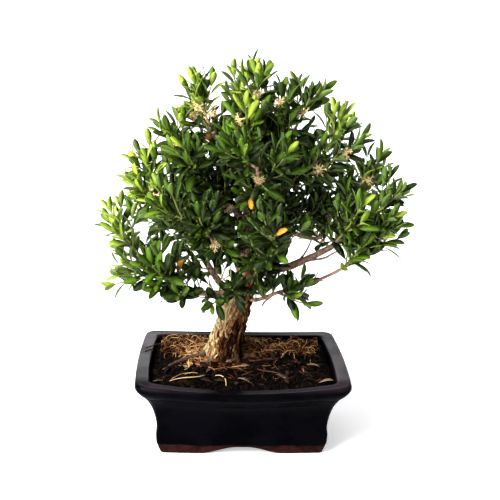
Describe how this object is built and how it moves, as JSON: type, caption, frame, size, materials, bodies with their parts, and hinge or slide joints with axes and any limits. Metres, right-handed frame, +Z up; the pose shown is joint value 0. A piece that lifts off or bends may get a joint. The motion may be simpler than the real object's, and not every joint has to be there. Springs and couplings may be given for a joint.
{
  "type": "boxwood bonsai in a pot",
  "caption": "Miniature box tree with a leaning trunk and a wide loose crown of small leaves, planted in a rectangular glazed pot on four feet.",
  "frame": {"origin": "on the table under the middle of the object's bounding box", "axes": "+Z up, +X to the viewer's right in the front view along the pot's long side, +Y to the back"},
  "size_m": [0.2986, 0.2362, 0.3767],
  "materials": {
    "glazed_pot": "glossy blue-black glaze, bare red-brown clay at the foot",
    "plastic_net": "matte black plastic",
    "soil": "moist dark peat and bark with tan roots and fallen leaves",
    "bark": "yellow-tan corky bark, browner and flaky on the shaded side",
    "leaves": "waxy green leaf, yellow-green when young, pale underneath",
    "dry_flowers": "dry cream florets",
    "seed_husk": "dry orange-brown husk"
  },
  "bodies": {
    "root": {"pot": "glazed_pot", "drain_net_left": "plastic_net", "drain_net_right": "plastic_net", "soil": "soil", "trunk_and_branches": "bark", "flowers_top_left": "dry_flowers", "flowers_top": "dry_flowers", "flowers_right": "dry_flowers", "seed_capsule": "seed_husk", "flowers_front_left": "dry_flowers", "shoot_top_centre": "leaves", "shoot_top_left": "leaves", "shoot_top_far_left": "leaves", "shoot_top_centre_right": "leaves", "shoot_top_right": "leaves", "shoot_top_front": "leaves", "shoot_top_back": "leaves", "shoot_top_back_right": "leaves", "shoot_upper_right": "leaves", "shoot_upper_right_edge": "leaves", "shoot_right_shoulder": "leaves", "shoot_upper_left": "leaves", "shoot_left_shoulder": "leaves", "shoot_upper_front_left": "leaves", "shoot_upper_front": "leaves", "shoot_upper_front_right": "leaves", "shoot_upper_back_right": "leaves", "shoot_upper_back": "leaves", "shoot_upper_back_left": "leaves", "shoot_left_back_upper": "leaves", "shoot_right_end": "leaves", "shoot_right_end_front": "leaves", "shoot_right_end_low": "leaves", "shoot_right_low_middle": "leaves", "shoot_right_low_near": "leaves", "shoot_left_end": "leaves", "shoot_left_end_low": "leaves", "shoot_left_low": "leaves", "shoot_left_low_near": "leaves", "shoot_left_front": "leaves", "shoot_left_front_low": "leaves", "shoot_front_left": "leaves", "shoot_front": "leaves", "shoot_front_right": "leaves", "shoot_front_right_upper": "leaves", "shoot_right_back": "leaves", "shoot_back_right": "leaves", "shoot_back": "leaves", "shoot_back_left": "leaves", "shoot_left_back": "leaves", "shoot_left_back_edge": "leaves", "shoot_back_right_low": "leaves", "shoot_back_left_low": "leaves", "shoot_trunk_left": "leaves", "shoot_trunk_front": "leaves", "shoot_inner_right": "leaves", "shoot_inner_left": "leaves", "shoot_inner_back_left": "leaves", "shoot_inner_far_right": "leaves", "shoot_inner_back": "leaves"}
  },
  "joints": []
}
